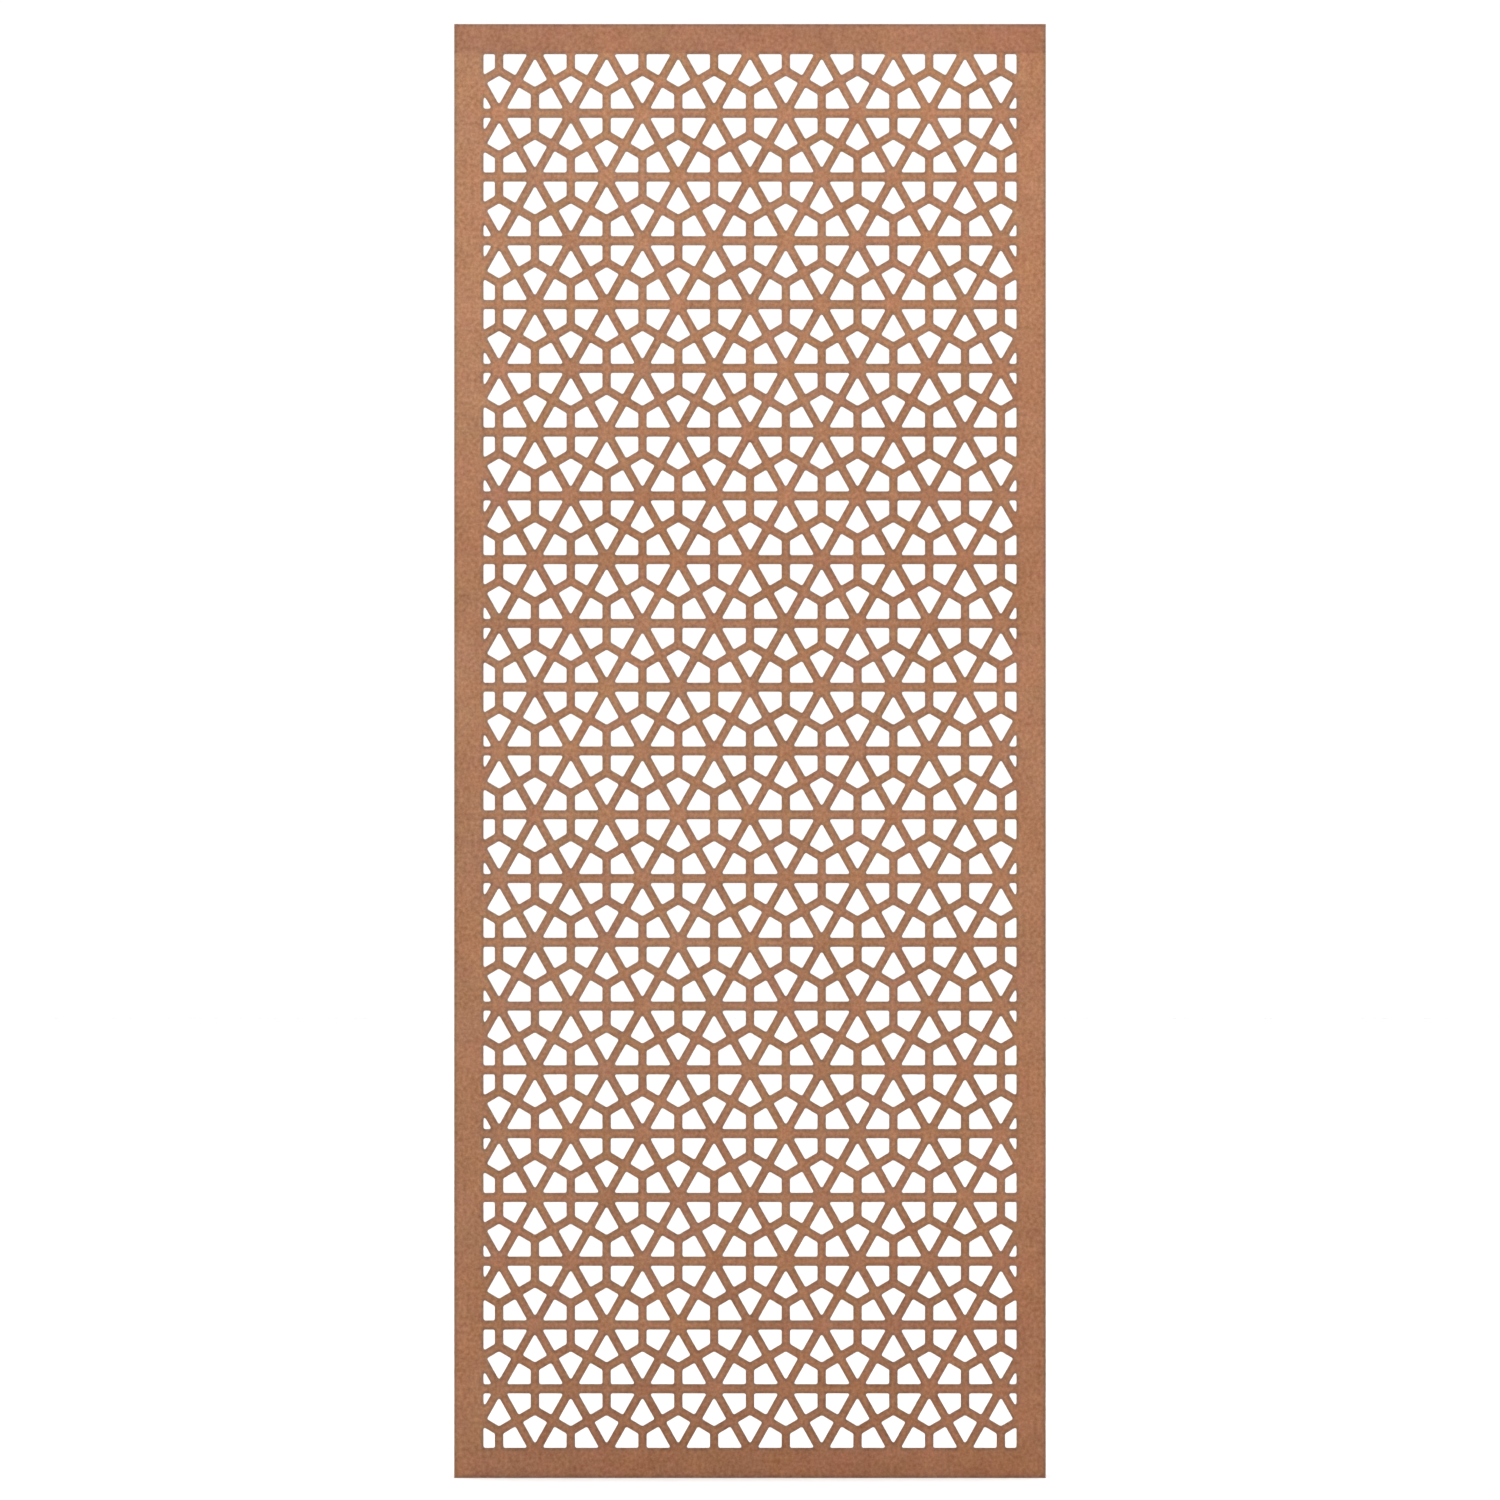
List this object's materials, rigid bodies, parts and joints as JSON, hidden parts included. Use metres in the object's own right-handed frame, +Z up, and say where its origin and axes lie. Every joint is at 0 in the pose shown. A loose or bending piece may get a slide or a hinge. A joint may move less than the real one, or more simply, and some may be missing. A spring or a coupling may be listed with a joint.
{
  "type": "partition panel",
  "caption": "Tall flat fibreboard panel, pierced all over with a lattice of kite-shaped openings inside a plain border, fixed upright to part or screen a space.",
  "frame": {"origin": "centre of the panel's bottom edge, half way through its thickness", "axes": "+Z up along the panel's height, +X across its width to the right as seen from the front, +Y through it from the front face to the back face"},
  "size_m": [0.83, 0.008, 2.04],
  "materials": {
    "fibreboard": "matte"
  },
  "bodies": {
    "root": {"panel_lower": "fibreboard", "panel_upper": "fibreboard"}
  },
  "joints": []
}
